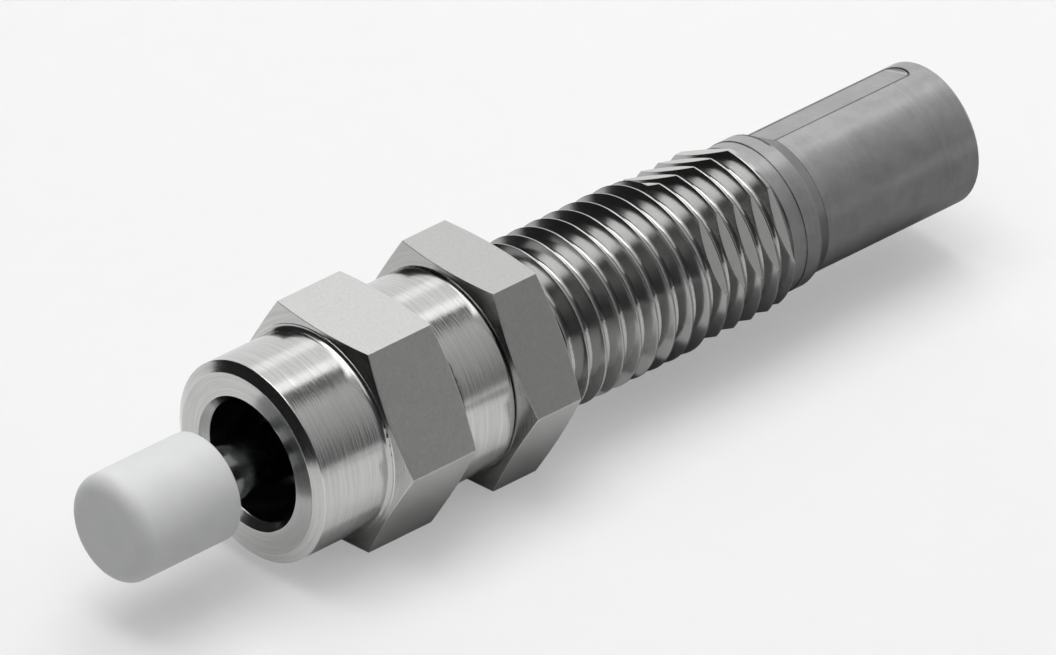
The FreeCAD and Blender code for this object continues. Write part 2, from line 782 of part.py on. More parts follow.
def piston_ring():
    """Split ring in the piston's groove, a running fit in the pressure tube."""
    body = new_body("piston_ring", f"{piston_front} + piston_length / 2 - piston_groove_width / 2")
    inside = f"({pilot_radius} - running_clearance - piston_groove_depth + seat_clearance)"
    turned(body, "ring", [
        ("seat_clearance", inside),
        ("piston_groove_width - seat_clearance", inside),
        ("piston_groove_width - seat_clearance", pilot_radius),
        ("seat_clearance", pilot_radius),
    ], "piston_ring_angle")


def check_disc():
    """Thin disc that covers the piston's oil holes on the way in and lifts on the way back."""
    hole = f"{piston_boss_radius} + running_clearance"
    plain_washer("check_disc", check_disc_front, "check_disc_thickness", hole, check_disc_radius)


def disc_stop_washer():
    """Washer against the piston's boss that limits how far the check disc lifts."""
    outside = f"{check_disc_radius} - disc_stop_setback"
    plain_washer("disc_stop_washer", disc_stop_front, "disc_stop_thickness", spigot_hole_radius, outside)


def piston_nut():
    """Small hexagon nut on the rod's spigot that holds the piston."""
    body = new_body("piston_nut", piston_nut_front)
    flats = f"(2 * ({spigot_radius} + piston_nut_wall))"
    hexagon(body, "hexagon", flats, "piston_nut_thickness")
    bored(body, "thread_hole", [
        ("0", "0"),
        ("piston_nut_thickness", "0"),
        ("piston_nut_thickness", spigot_hole_radius),
        ("0", spigot_hole_radius),
    ])


def return_spring():
    """Compression spring that pushes the piston and the rod back out."""
    body = new_body("return_spring", spring_front)
    sketch = circle(sketch_on(body, "wire"),
                    "spring_wire_diameter / 2", spring_mean_radius, "spring_wire_diameter")
    coil = body.newObject("PartDesign::AdditiveHelix", "coil")
    coil.Profile = sketch
    coil.ReferenceAxis = (sketch, ["H_Axis"])
    coil.Mode = "height-turns-angle"
    coil.setExpression("Height", bound(f"{spring_length} - spring_wire_diameter"))
    coil.setExpression("Turns", bound("spring_coils"))


def spring_seat():
    """Ring that centres the rear end of the spring."""
    body = new_body("spring_seat", f"{seat_front} - spring_pilot_length")
    end = "(spring_pilot_length + spring_seat_thickness)"
    hole = f"({spring_pilot_radius} - spring_seat_wall)"
    turned(body, "seat", [
        ("0", hole),
        (end, hole),
        (end, pilot_radius),
        ("spring_pilot_length", pilot_radius),
        ("spring_pilot_length", spring_pilot_radius),
        ("0", spring_pilot_radius),
    ])


# Rear end of the tube

def end_plug():
    """Plug that closes the tube, with an O-ring groove and the hole for filling it with oil."""
    body = new_body("end_plug", plug_front)
    end = "(plug_spigot_length + plug_flange_length)"
    middle = "(plug_spigot_length + plug_flange_length / 2)"
    groove_start = f"({middle} - {oring_groove_width} / 2)"
    groove_end = f"({middle} + {oring_groove_width} / 2)"
    ball_hole = "(filler_ball_diameter / 2 + filler_hole_clearance)"
    turned(body, "plug", [
        ("0", ball_hole),
        (end, ball_hole),
        (end, f"{packing_radius} - plug_edge_chamfer"),
        (f"{end} - plug_edge_chamfer", packing_radius),
        (groove_end, packing_radius),
        (groove_end, f"{packing_radius} - {oring_groove_depth}"),
        (groove_start, f"{packing_radius} - {oring_groove_depth}"),
        (groove_start, packing_radius),
        ("plug_spigot_length", packing_radius),
        ("plug_spigot_length", pilot_radius),
        ("0", pilot_radius),
    ])


def filler_ball():
    """Steel ball pressed into the filling hole to seal the oil in."""
    ball = doc.addObject("Part::Sphere", "filler_ball")
    ball.Label = "filler_ball"
    ball.setExpression("Radius", bound("filler_ball_diameter / 2"))
    ball.setExpression("Placement.Base.x", bound(f"{plug_rear} - filler_ball_setback"))
    pieces.append(ball)


buffer_cap()
piston_rod()
stop_sleeve()
lock_nut()
body_tube()
front_retaining_ring()
rod_wiper()
guide_bush()
rubber_ring("guide_bush_o_ring", bush_ring_place)
rod_seal()
seal_support_washer()
accumulator_foam()
piston_stop_washer()
pressure_tube()
piston()
piston_ring()
check_disc()
disc_stop_washer()
piston_nut()
return_spring()
spring_seat()
end_plug()
rubber_ring("end_plug_o_ring", plug_ring_place)
filler_ball()
split_ring("rear_retaining_ring", rear_ring_place)

# The document is worked out and every object checked before anything is written

doc.recompute()
for item in doc.Objects:
    if "Invalid" in item.State or "Error" in item.State:
        raise RuntimeError(f"{item.Label} failed: {item.State}")

os.makedirs("parts", exist_ok=True)
for piece in pieces:
    shape = piece.Shape
    if shape.isNull() or not shape.isValid() or len(shape.Solids) != 1:
        raise RuntimeError(f"{piece.Label} is not one valid solid")
    box = shape.BoundBox
    print(f"{piece.Label:22s} x {box.XMin:8.3f} to {box.XMax:8.3f}   volume {shape.Volume:9.3f}")
for piece in pieces:
    piece.Shape.exportStep(f"parts/{piece.Label}.step")
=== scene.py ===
# %% [markdown]
# # A miniature shock absorber on a white table
#
# The part is a small hydraulic damper with a fine thread. A load hits the white plastic nose,
# pushes the rod into the tube, and comes to rest against the front ring of the screwed sleeve.
# Its solids come from a CAD model, and each is already a node in its right place. This lesson
# gives every node the finish that the real piece has: turned nickel, satin hexagons, rolled
# thread, matt plastic, rubber, bronze and wire. Then it sets up the studio.

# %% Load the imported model
import math

import bpy
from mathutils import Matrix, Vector


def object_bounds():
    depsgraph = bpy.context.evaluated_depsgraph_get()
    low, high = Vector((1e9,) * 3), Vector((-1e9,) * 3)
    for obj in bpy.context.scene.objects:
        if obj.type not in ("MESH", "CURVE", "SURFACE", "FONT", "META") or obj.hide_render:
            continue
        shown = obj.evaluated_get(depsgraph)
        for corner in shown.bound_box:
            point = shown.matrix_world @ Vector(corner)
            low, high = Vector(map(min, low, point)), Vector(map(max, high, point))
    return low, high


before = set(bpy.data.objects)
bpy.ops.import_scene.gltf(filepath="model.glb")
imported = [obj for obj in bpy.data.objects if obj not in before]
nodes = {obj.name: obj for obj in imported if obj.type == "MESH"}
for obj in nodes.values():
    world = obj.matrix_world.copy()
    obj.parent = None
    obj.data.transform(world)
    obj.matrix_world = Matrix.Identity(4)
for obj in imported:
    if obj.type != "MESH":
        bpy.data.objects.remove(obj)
cad_box = [list(corner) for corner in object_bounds()]
bpy.ops.object.select_all(action="DESELECT")

# %% [markdown]
# ## The camera
#
# The picture was taken with a long lens, so the two ends of the part are drawn at nearly the same
# scale. A wide lens close by would make the nose look swollen. The camera here stands over a metre
# away and looks down at 32 degrees past the nose. Its distance and lens go together: one millimetre
# of the part covers 23.5 pixels of a picture that is 1056 pixels wide. With a longer lens, further
# away, the far limit of a camera that is turned round the part would cut off its rear half.

# %% Place the camera
PICTURE_WIDTH = 1056
SENSOR_WIDTH = 36
PIXELS_PER_MM = 23.546
CAMERA_DISTANCE = 1.15
TOWARDS_CAMERA = Vector((-0.568, -0.6245, 0.536)).normalized()
AIM = Vector((0.01092, -0.00573, 0.00490))

camera_data = bpy.data.cameras.new("camera")
camera = bpy.data.objects.new("camera", camera_data)
bpy.context.scene.collection.objects.link(camera)
camera_data.sensor_width = SENSOR_WIDTH
camera_data.lens = SENSOR_WIDTH * PIXELS_PER_MM * CAMERA_DISTANCE * 1000 / PICTURE_WIDTH
camera_data.clip_start = 0.1
camera_data.clip_end = 30
camera.location = AIM + TOWARDS_CAMERA * CAMERA_DISTANCE
camera.rotation_euler = TOWARDS_CAMERA.to_track_quat("Z", "Y").to_euler()
bpy.context.scene.camera = camera
print("lens", round(camera_data.lens), "mm at", CAMERA_DISTANCE, "m")

# %% [markdown]
# ## A tree of nodes, written down in short
#
# Every finish is a Principled shader with a few nodes in front of it. Adding and joining those by
# hand takes many lines, so this helper keeps each step to one. Patterns are written in millimetres,
# because that is how a machinist thinks of tool marks, so the coordinates are scaled up first.

# %% A helper that builds one finish
class Finish:
    """One material: a Principled shader, and short ways to put nodes before it."""

    def __init__(self, name, metallic, **constants):
        self.material = bpy.data.materials.new(name)
        self.material.use_nodes = True
        self.tree = self.material.node_tree
        self.shader = self.tree.nodes["Principled BSDF"]
        self.shader.inputs["Metallic"].default_value = metallic
        for socket, value in constants.items():
            self.shader.inputs[socket.replace("_", " ")].default_value = value
        place = self.add("ShaderNodeTexCoord").outputs["Object"]
        scaled = self.vector("SCALE", place)
        scaled.node.inputs["Scale"].default_value = 1000
        self.place = scaled
        self.along, self.side, self.up = self.split(self.place)
        across = self.vector("MULTIPLY", self.place, (0, 1, 1))
        self.radius = self.vector("LENGTH", across, output="Value")

    def add(self, kind, **settings):
        node = self.tree.nodes.new(kind)
        for key, value in settings.items():
            setattr(node, key, value)
        return node

    def feed(self, socket, value):
        """Join another node's output to a socket, or set the socket to a plain value."""
        if isinstance(value, bpy.types.NodeSocket):
            self.tree.links.new(value, socket)
        else:
            socket.default_value = value

    def math(self, operation, *values, clamp=False):
        node = self.add("ShaderNodeMath", operation=operation, use_clamp=clamp)
        for socket, value in zip(node.inputs, values):
            self.feed(socket, value)
        return node.outputs[0]

    def vector(self, operation, *values, output="Vector"):
        node = self.add("ShaderNodeVectorMath", operation=operation)
        for socket, value in zip(node.inputs, values):
            self.feed(socket, value)
        return node.outputs[output]

    def split(self, vector):
        node = self.add("ShaderNodeSeparateXYZ")
        self.feed(node.inputs[0], vector)
        return node.outputs[0], node.outputs[1], node.outputs[2]

    def combine(self, x, y, z):
        node = self.add("ShaderNodeCombineXYZ")
        for socket, value in zip(node.inputs, (x, y, z)):
            self.feed(socket, value)
        return node.outputs[0]

    def noise(self, where, scale, detail=2.0, roughness=0.5):
        node = self.add("ShaderNodeTexNoise")
        self.feed(node.inputs["Vector"], where)
        node.inputs["Scale"].default_value = scale
        node.inputs["Detail"].default_value = detail
        node.inputs["Roughness"].default_value = roughness
        return node.outputs["Fac"]

    def spread(self, value, low, high, to_low=0.0, to_high=1.0, smooth=False):
        """Map a value from one range to another, held at both ends."""
        node = self.add("ShaderNodeMapRange", interpolation_type="SMOOTHSTEP" if smooth else "LINEAR")
        for socket, number in zip(node.inputs, (value, low, high, to_low, to_high)):
            self.feed(socket, number)
        return node.outputs[0]

    def blend(self, share, first, second):
        """Mix two colours or two plain numbers."""
        colours = isinstance(first, tuple) or (
            isinstance(first, bpy.types.NodeSocket) and first.type == "RGBA")
        node = self.add("ShaderNodeMix", data_type="RGBA" if colours else "FLOAT")
        inputs = [s for s in node.inputs if s.enabled]
        self.feed(inputs[0], share)
        self.feed(inputs[1], first)
        self.feed(inputs[2], second)
        return next(s for s in node.outputs if s.enabled)

    def set(self, socket, value):
        self.feed(self.shader.inputs[socket], value)

    def bump(self, height, depth_mm, strength=1.0, under=None):
        """Raise the surface by a height from 0 to 1 times a depth in millimetres."""
        node = self.add("ShaderNodeBump")
        node.inputs["Strength"].default_value = strength
        node.inputs["Distance"].default_value = depth_mm / 1000
        self.feed(node.inputs["Height"], height)
        if under is not None:
            self.feed(node.inputs["Normal"], under)
        return node.outputs[0]

    def distance_from(self, place):
        """Distance along the axis from a place on it."""
        return self.math("ABSOLUTE", self.math("SUBTRACT", self.along, place))

    def soft_edge(self, radius_mm):
        """Normals as they are where a sharp edge has been broken to a small radius."""
        node = self.add("ShaderNodeBevel", samples=6)
        node.inputs["Radius"].default_value = radius_mm / 1000
        return node.outputs[0]

    def edge_share(self, soft):
        """One on a broken edge and zero on the flat beside it."""
        true = self.add("ShaderNodeNewGeometry").outputs["Normal"]
        alike = self.vector("DOT_PRODUCT", soft, true, output="Value")
        return self.spread(alike, 0.999, 0.93)


print("finish helper ready")

# %% [markdown]
# ## Turned metal
#
# A lathe leaves rings round the axis: on a cylinder they follow each other along it, and on an end
# face they are circles inside each other. One pattern gives both if noise is stretched hard in two
# directions, along the axis and outwards, and hardly at all round it. Height from that noise tilts
# the surface a little from ring to ring, which is what frays the edge of a reflection on real
# turned metal. An image of scratches would need UVs and would slide, noise in object space doesn't.

# %% Coordinates that follow the lathe
def lathe_place(finish, rings_per_mm, drift=0.35):
    """Noise space that changes fast along and outwards, and slowly round the axis."""
    along = finish.math("MULTIPLY", finish.along, rings_per_mm)
    outward = finish.math("MULTIPLY", finish.radius, rings_per_mm)
    slow = finish.vector("MULTIPLY", finish.place, (0, drift, drift))
    return finish.vector("ADD", finish.combine(along, outward, 0.0), slow)


def lathe_rings(finish, rings_per_mm, drift=0.35, detail=3.0):
    return finish.noise(lathe_place(finish, rings_per_mm, drift), 1.0, detail=detail, roughness=0.6)


def round_axis(finish):
    """Direction round the axis, for reflections that stretch across the tool marks."""
    return finish.add("ShaderNodeTangent", direction_type="RADIAL", axis="X").outputs[0]


print("lathe pattern ready")

# %% [markdown]
# ## Nickelled sleeve
#
# The sleeve is turned from hexagon bar and nickelled. Its neck and collar are bright, with fine
# rings, while the flats of the hexagon keep the satin skin of the bar. Both are one solid with one
# material slot, so the material tells them apart by the distance from the axis: only the hexagon
# reaches past 4.9 mm. The cones at its ends are turned too, and they lean, so the flats are the
# places that are far out and face squarely sideways. Behind the hexagon two fine ragged dark lines
# are painted on the collar as the shade of fine grooves there.

# %% Finish for the sleeve and the nut
HEX_STARTS_AT = 4.9
COLLAR_SHADE_LINES = ((8.27, 0.05), (8.42, 0.03))


def flat_share(finish):
    """One on the hexagon's flats, zero on everything that was turned."""
    facing = finish.add("ShaderNodeNewGeometry").outputs["True Normal"]
    lean = finish.math("ABSOLUTE", finish.split(facing)[0])
    square = finish.spread(lean, 0.1, 0.05)
    far = finish.spread(finish.radius, HEX_STARTS_AT, HEX_STARTS_AT + 0.05)
    return finish.math("MULTIPLY", square, far)


def nickelled(name, bright, dull, flat_roughness):
    f = Finish(name, 1.0, Anisotropic=0.35)
    flats = flat_share(f)
    rings = lathe_rings(f, 9.0)
    fine_rings = lathe_rings(f, 38.0, drift=0.8)
    stains = f.noise(f.place, 0.9, detail=4.0, roughness=0.6)
    grain = f.noise(f.place, 6.0, detail=3.0, roughness=0.6)
    soft = f.soft_edge(0.06)
    edge_highlight = f.edge_share(soft)

    turned_colour = f.blend(f.spread(rings, 0.35, 0.65), dull, bright)
    satin_colour = f.blend(f.spread(grain, 0.3, 0.7), dull, bright)
    colour = f.blend(flats, turned_colour, satin_colour)
    colour = f.blend(f.math("MULTIPLY", f.spread(stains, 0.52, 0.75), 0.35), colour, dull)
    # Every broken edge is painted paler: a painted highlight.
    colour = f.blend(f.math("MULTIPLY", edge_highlight, 0.6), colour, (0.92, 0.92, 0.90, 1))
    tear = f.spread(f.noise(f.place, 2.2, detail=4.0, roughness=0.7), 0.45, 0.55)
    inner = f.spread(f.radius, HEX_STARTS_AT, HEX_STARTS_AT - 0.05)
    # Two fine ragged dark lines on the collar are painted shade of fine grooves there.
    for place, width in COLLAR_SHADE_LINES:
        line = f.spread(f.distance_from(place), width, width / 2)
        line = f.math("MULTIPLY", f.math("MULTIPLY", line, inner), tear)
        colour = f.blend(f.math("MULTIPLY", line, 0.85), colour, (0.05, 0.05, 0.05, 1))
    f.set("Base Color", colour)

    turned_roughness = f.spread(fine_rings, 0.3, 0.7, 0.10, 0.22)
    satin_roughness = f.spread(grain, 0.3, 0.7, flat_roughness - 0.05, flat_roughness + 0.06)
    roughness = f.blend(flats, turned_roughness, satin_roughness)
    roughness = f.math("ADD", roughness, f.math("MULTIPLY", f.spread(stains, 0.5, 0.8), 0.05))
    f.set("Roughness", roughness)

    turning = f.bump(rings, 0.0045, under=soft)
    turning = f.bump(fine_rings, 0.0008, under=turning)
    pick = f.add("ShaderNodeMix", data_type="VECTOR")
    ports = [s for s in pick.inputs if s.enabled]
    f.feed(ports[0], flats)
    f.feed(ports[1], turning)
    f.feed(ports[2], soft)
    f.set("Normal", next(s for s in pick.outputs if s.enabled))
    f.set("Tangent", round_axis(f))
    return f.material


sleeve_nickel = nickelled("sleeve_nickel", (0.57, 0.575, 0.565, 1), (0.49, 0.495, 0.485, 1), 0.34)
nut_nickel = nickelled("nut_nickel", (0.48, 0.485, 0.475, 1), (0.42, 0.425, 0.415, 1), 0.36)
print("nickel finishes ready")

# %% [markdown]
# ## Tube
#
# The tube is darker than the nickel: bare steel with a little oil on it. Turned metal this dark is
# what makes the grooves of a thread nearly black, because the light in them has bounced off two
# flanks. The four wrench flats are milled across the last crests and came out paler, and one more
# flat is milled along the barrel. The tube is one solid, so each part of it is told by its place:
# the wrench flats are the only faces on the thread that don't lean.

# %% Places on the tube, in millimetres
CREST_RADIUS = 4.0
ROOT_RADIUS = 3.5
THREAD_END = 28.1
SHOULDER = (29.95, 30.60)
STEP_LINES = (29.15, SHOULDER[1])
BARREL_RADIUS = 3.31
BARREL_END = 39.2
FLAT_HEIGHT = 3.16
FLAT_TURN = math.radians(18)
RUNOUT_START = 38.4


def wrench_flat_share(finish):
    """One on the milled facets of the thread's crests."""
    facing = finish.add("ShaderNodeNewGeometry").outputs["True Normal"]
    lean = finish.math("ABSOLUTE", finish.split(facing)[0])
    square = finish.spread(lean, 0.08, 0.04)
    below_crest = finish.spread(finish.radius, CREST_RADIUS - 0.015, CREST_RADIUS - 0.03)
    above_root = finish.spread(finish.radius, ROOT_RADIUS, ROOT_RADIUS + 0.05)
    on_thread = finish.spread(finish.along, THREAD_END + 0.05, THREAD_END)
    both = finish.math("MULTIPLY", below_crest, above_root)
    return finish.math("MULTIPLY", finish.math("MULTIPLY", square, both), on_thread)


def height_over_flat(finish):
    """Height over the plane of the barrel's flat."""
    across = finish.math("MULTIPLY", finish.side, math.sin(FLAT_TURN))
    upwards = finish.math("MULTIPLY", finish.up, math.cos(FLAT_TURN))
    return finish.math("SUBTRACT", finish.math("ADD", across, upwards), FLAT_HEIGHT)


def flat_edge_shade(finish):
    """One along the edge of the barrel's flat and on the lip in front of it, where dark lines are
    painted as shade.
    """
    below_edge = finish.math("SUBTRACT", BARREL_RADIUS, finish.radius)
    inside = finish.spread(below_edge, 0.006, 0.010)
    close = finish.spread(below_edge, 0.050, 0.042)
    edge = finish.math("MULTIPLY", inside, close)
    barrel = finish.spread(finish.along, SHOULDER[1], SHOULDER[1] + 0.02)
    before_end = finish.spread(finish.along, BARREL_END, BARREL_END - 0.05)
    edge = finish.math("MULTIPLY", finish.math("MULTIPLY", edge, barrel), before_end)
    lip = finish.spread(finish.distance_from(SHOULDER[0] - 0.05), 0.075, 0.06)
    beside_flat = finish.spread(height_over_flat(finish), 0.05, 0.15)
    return finish.math("MAXIMUM", edge, finish.math("MULTIPLY", lip, beside_flat))


def runout_share(finish):
    """One on the hollow slope at the rear of the flat, where the cutter came out."""
    risen = finish.spread(height_over_flat(finish), 0.005, 0.02)
    sunk = finish.spread(finish.radius, BARREL_RADIUS - 0.006, BARREL_RADIUS - 0.012)
    rear = finish.spread(finish.along, RUNOUT_START - 0.02, RUNOUT_START + 0.02)
    return finish.math("MULTIPLY", finish.math("MULTIPLY", risen, sunk), rear)


print("places on the tube set")

# %% [markdown]
# ## Finish for the tube
#
# Dark hairlines are painted in the two turned steps and round the flat, as painted shade, and the
# slope of the shoulder is painted darker, also as painted shade. Everything is a little uneven, so
# the lines are broken by noise.

# %% Build the tube's finish
# Near-black colour of the painted shade in the steps and round the flat.
PAINTED_SHADE = (0.03, 0.03, 0.03, 1)


def tube_finish():
    f = Finish("tube_steel", 1.0, Anisotropic=0.3)
    rings = lathe_rings(f, 7.0)
    fine_rings = lathe_rings(f, 30.0, drift=0.6)
    cloud = f.noise(f.place, 0.8, detail=5.0, roughness=0.65)
    grain = f.noise(f.place, 16.0, detail=2.0, roughness=0.6)
    torn = f.spread(f.noise(f.place, 2.5, detail=4.0, roughness=0.7), 0.35, 0.6, 0.7, 1.0)
    soft = f.soft_edge(0.025)
    edge_highlight = f.edge_share(soft)

    barrel = f.spread(f.along, THREAD_END, THREAD_END + 0.1)
    satin = f.blend(f.spread(cloud, 0.35, 0.65), (0.31, 0.315, 0.31, 1), (0.375, 0.38, 0.375, 1))
    satin = f.blend(f.math("MULTIPLY", f.spread(rings, 0.5, 0.75), 0.25), satin, (0.48, 0.48, 0.47, 1))
    oily = f.blend(f.spread(cloud, 0.35, 0.65), (0.40, 0.40, 0.395, 1), (0.44, 0.44, 0.435, 1))
    colour = f.blend(barrel, oily, satin)
    # The slope of the shoulder is painted darker: painted shade.
    half_shoulder = (SHOULDER[1] - SHOULDER[0]) / 2
    slope = f.spread(f.distance_from(sum(SHOULDER) / 2), half_shoulder, half_shoulder - 0.045)
    colour = f.blend(f.math("MULTIPLY", slope, 0.8), colour, (0.16, 0.16, 0.16, 1))
    milled = f.math("MAXIMUM", wrench_flat_share(f), runout_share(f))
    colour = f.blend(milled, colour, (0.60, 0.60, 0.59, 1))
    # Every broken edge and thread crest is painted paler: a painted highlight.
    colour = f.blend(f.math("MULTIPLY", edge_highlight, 0.45), colour, (0.75, 0.75, 0.74, 1))
    # Dark hairlines in the two turned steps are painted shade.
    for place in STEP_LINES:
        line = f.math("MULTIPLY", f.spread(f.distance_from(place), 0.035, 0.02), 0.7)
        colour = f.blend(f.math("MULTIPLY", line, torn), colour, PAINTED_SHADE)
    # A dark line round the flat and along the lip in front of it is painted shade.
    outline = f.math("MULTIPLY", f.math("MULTIPLY", flat_edge_shade(f), torn), 0.9)
    colour = f.blend(outline, colour, PAINTED_SHADE)
    f.set("Base Color", colour)

    satin_roughness = f.spread(grain, 0.3, 0.7, 0.28, 0.38)
    thread_roughness = f.spread(cloud, 0.3, 0.7, 0.15, 0.20)
    roughness = f.blend(barrel, thread_roughness, satin_roughness)
    f.set("Roughness", f.blend(milled, roughness, 0.42))
    turning = f.bump(rings, 0.0015, under=soft)
    f.set("Normal", f.bump(fine_rings, 0.0008, under=turning))
    f.set("Tangent", round_axis(f))
    return f.material


tube_steel = tube_finish()
print("tube finish ready")

# %% [markdown]
# ## White plastic nose
#
# The nose is turned from white acetal, a slightly waxy plastic that lets a little light into its
# surface. That softens its shading, so a touch of subsurface scattering is worth having. Very fine
# turning rings show on the end, and the rim has picked up a trace of grey from use.

# %% Finish for the nose
def plastic_finish():
    wax = {"Subsurface_Weight": 0.1, "Subsurface_Scale": 0.0004}
    f = Finish("white_acetal", 0.0, Specular_IOR_Level=0.35, **wax)
    rings = lathe_rings(f, 12.0)
    cloud = f.noise(f.place, 0.7, detail=3.0)
    specks = f.noise(f.place, 9.0, detail=4.0, roughness=0.7)
    colour = f.blend(f.spread(cloud, 0.3, 0.7), (0.76, 0.775, 0.77, 1), (0.80, 0.81, 0.805, 1))
    rub = f.math("MULTIPLY", f.spread(specks, 0.62, 0.8), 0.25)
    colour = f.blend(rub, colour, (0.60, 0.61, 0.60, 1))
    f.set("Base Color", colour)
    f.set("Roughness", f.spread(rings, 0.3, 0.7, 0.42, 0.52))
    turning = f.bump(rings, 0.002)
    f.set("Normal", f.bump(specks, 0.001, under=turning))
    return f.material


white_acetal = plastic_finish()
print("plastic finish ready")

# %% [markdown]
# ## Rod and inner steel
#
# The rod is ground and hard chromed, so its marks run round it and are almost too fine to see. The
# washers, the piston and the pressure tube inside are plain turned steel with a film of oil, which
# makes them a little darker and patchy. They share one recipe with different numbers.

# %% Finishes for the rod and the inner steel pieces
def plain_steel(name, light, dark, roughness, rings_per_mm, ring_depth):
    f = Finish(name, 1.0, Anisotropic=0.3)
    rings = lathe_rings(f, rings_per_mm)
    film = f.noise(f.place, 1.6, detail=4.0, roughness=0.6)
    colour = f.blend(f.spread(film, 0.3, 0.7), dark, light)
    f.set("Base Color", f.blend(f.math("MULTIPLY", f.spread(rings, 0.5, 0.8), 0.3), colour, light))
    f.set("Roughness", f.spread(film, 0.3, 0.7, roughness - 0.05, roughness + 0.07))
    f.set("Normal", f.bump(rings, ring_depth))
    f.set("Tangent", round_axis(f))
    return f.material


OIL_FILM = (0.38, 0.38, 0.37, 1)
rod_chrome = plain_steel("rod_chrome", (0.38, 0.385, 0.39, 1), (0.30, 0.305, 0.31, 1), 0.16, 40, 0.0006)
inner_steel = plain_steel("oiled_steel", (0.50, 0.50, 0.49, 1), OIL_FILM, 0.34, 12, 0.002)
plug_steel = plain_steel("plug_steel", (0.48, 0.48, 0.47, 1), OIL_FILM, 0.34, 8, 0.003)
bronze = plain_steel("bush_bronze", (0.74, 0.52, 0.28, 1), (0.60, 0.39, 0.19, 1), 0.34, 10, 0.002)
ball_steel = plain_steel("polished_ball", (0.62, 0.62, 0.61, 1), (0.54, 0.54, 0.53, 1), 0.08, 2, 0.0002)
print("steel and bronze finishes ready")

# %% [markdown]
# ## Rubber, foam and spring wire
#
# The seals are black nitrile rubber with a faint bloom. The foam sleeve has closed cells, which
# Voronoi cells imitate better than noise because real cells have walls. Drawn wire carries marks
# along its length, and on a coil that is round the axis, so the lathe pattern serves again.

# %% Finishes for the rubber, the foam and the wire
def rubber_finish():
    f = Finish("seal_rubber", 0.0, Specular_IOR_Level=0.45)
    bloom = f.noise(f.place, 3.0, detail=4.0, roughness=0.65)
    skin = f.noise(f.place, 22.0, detail=3.0, roughness=0.7)
    black, dusty = (0.018, 0.018, 0.018, 1), (0.06, 0.06, 0.058, 1)
    f.set("Base Color", f.blend(f.spread(bloom, 0.45, 0.8), black, dusty))
    f.set("Roughness", f.spread(skin, 0.3, 0.7, 0.50, 0.68))
    f.set("Normal", f.bump(skin, 0.004))
    return f.material


def foam_finish():
    f = Finish("closed_cell_foam", 0.0, Specular_IOR_Level=0.25)
    cells = f.add("ShaderNodeTexVoronoi", feature="DISTANCE_TO_EDGE")
    f.feed(cells.inputs["Vector"], f.place)
    cells.inputs["Scale"].default_value = 6.0
    walls = f.spread(cells.outputs["Distance"], 0.0, 0.18)
    f.set("Base Color", f.blend(walls, (0.09, 0.09, 0.095, 1), (0.03, 0.03, 0.032, 1)))
    f.set("Roughness", f.spread(walls, 0.0, 1.0, 0.7, 0.9))
    f.set("Normal", f.bump(walls, 0.03, strength=0.8))
    return f.material


seal_rubber = rubber_finish()
foam = foam_finish()
spring_wire = plain_steel("spring_wire", (0.46, 0.46, 0.46, 1), (0.30, 0.30, 0.30, 1), 0.34, 14, 0.002)
print("rubber, foam and wire ready")

# %% [markdown]
# ## Dress the nodes
#
# Each node has one material slot. Giving the slot a new material is all that a CAD node needs: its
# mesh stays as it is. A piece that isn't in this table would keep a plain grey, so the cell stops
# if one is missing.

# %% Give every node its finish
FINISHES = {
    "buffer_cap": white_acetal,
    "piston_rod": rod_chrome,
    "stop_sleeve": sleeve_nickel,
    "lock_nut": nut_nickel,
    "body_tube": tube_steel,
    "front_retaining_ring": spring_wire,
    "rod_wiper": seal_rubber,
    "guide_bush": bronze,
    "guide_bush_o_ring": seal_rubber,
    "rod_seal": seal_rubber,
    "seal_support_washer": inner_steel,
    "accumulator_foam": foam,
    "piston_stop_washer": inner_steel,
    "pressure_tube": inner_steel,
    "piston": inner_steel,
    "piston_ring": bronze,
    "check_disc": inner_steel,
    "disc_stop_washer": inner_steel,
    "piston_nut": inner_steel,
    "return_spring": spring_wire,
    "spring_seat": inner_steel,
    "end_plug": plug_steel,
    "end_plug_o_ring": seal_rubber,
    "filler_ball": ball_steel,
    "rear_retaining_ring": spring_wire,
}
if sorted(FINISHES) != sorted(nodes):
    raise RuntimeError("a node has no finish")
for name, finish in FINISHES.items():
    for slot in nodes[name].material_slots:
        slot.material = finish
print(len(FINISHES), "nodes dressed")

# %% [markdown]
# ## Table
#
# The part lies on the lower flats of its two hexagons, so the table is at that height. It is wide
# enough that no view from above meets its edge. The paper has a very faint tooth. More light on the
# part would burn out the nose before the paper got white, so the paper glows a little instead, only
# for the camera and for what metal and glass mirror. The part's shadow stays on it.

# %% Lay the table
PAPER_GLOW = 0.33
table_height = cad_box[0][2]
bpy.ops.mesh.primitive_plane_add(size=8, location=(0, 0, table_height))
table = bpy.context.active_object
table.name = "table"
paper = Finish("table_paper", 0.0, Specular_IOR_Level=0.1)
tooth = paper.noise(paper.place, 0.6, detail=3.0)
paper.set("Base Color", paper.blend(tooth, (0.59, 0.59, 0.59, 1), (0.61, 0.61, 0.61, 1)))
paper.set("Roughness", 0.9)
paths = paper.add("ShaderNodeLightPath").outputs
seen = paper.math("ADD", paths["Is Camera Ray"], paths["Is Glossy Ray"])
seen = paper.math("ADD", seen, paths["Is Transmission Ray"], clamp=True)
paper.set("Emission Color", (1, 1, 1, 1))
paper.set("Emission Strength", paper.math("MULTIPLY", seen, PAPER_GLOW))
table.data.materials.append(paper.material)
print("table at", round(table_height * 1000, 2), "mm")

